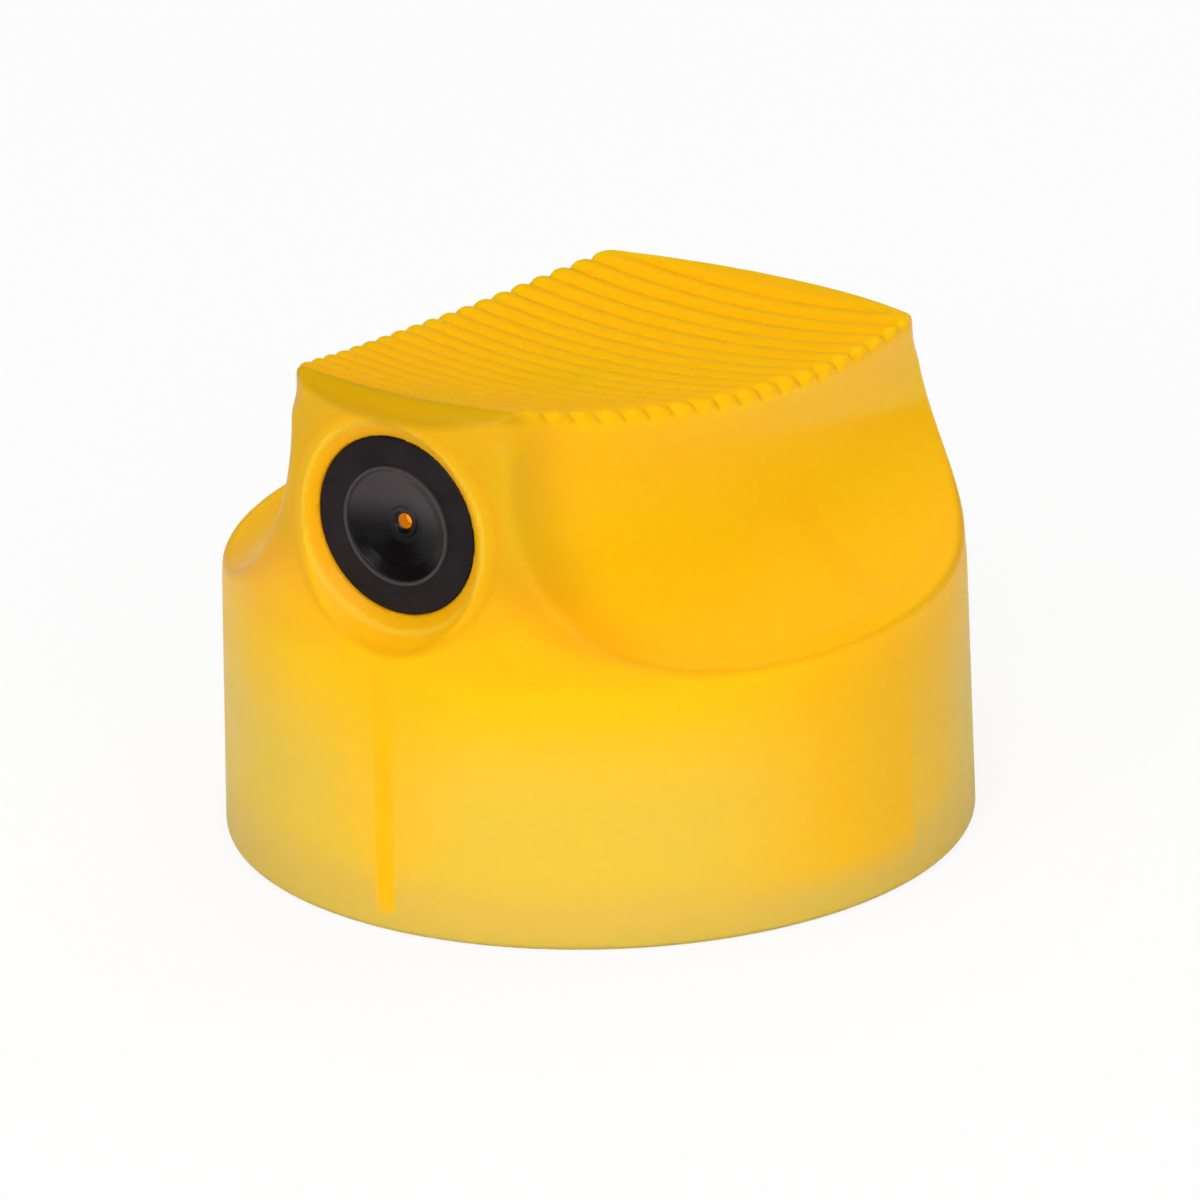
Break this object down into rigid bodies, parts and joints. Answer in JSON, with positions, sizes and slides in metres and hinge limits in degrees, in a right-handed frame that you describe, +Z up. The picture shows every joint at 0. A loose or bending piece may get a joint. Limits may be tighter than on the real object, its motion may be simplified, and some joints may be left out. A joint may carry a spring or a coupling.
{
  "type": "aerosol spray cap",
  "caption": "Round press-down cap for an aerosol can: a ribbed, hollowed finger pad over scooped sides, a stem socket inside and a pressed-in spray nozzle at the front",
  "frame": {"origin": "centre of the skirt's lower edge", "axes": "+Z up along the valve stem, the spray leaves towards -Y, +X to the right of the spray"},
  "size_m": [0.02, 0.02, 0.0149],
  "materials": {
    "cap_plastic": "satin moulded, slightly translucent yellow",
    "insert_plastic": "black, fine grain with a glossy dish"
  },
  "bodies": {
    "root": {"cap_body": "cap_plastic", "nozzle_insert": "insert_plastic"}
  },
  "joints": []
}
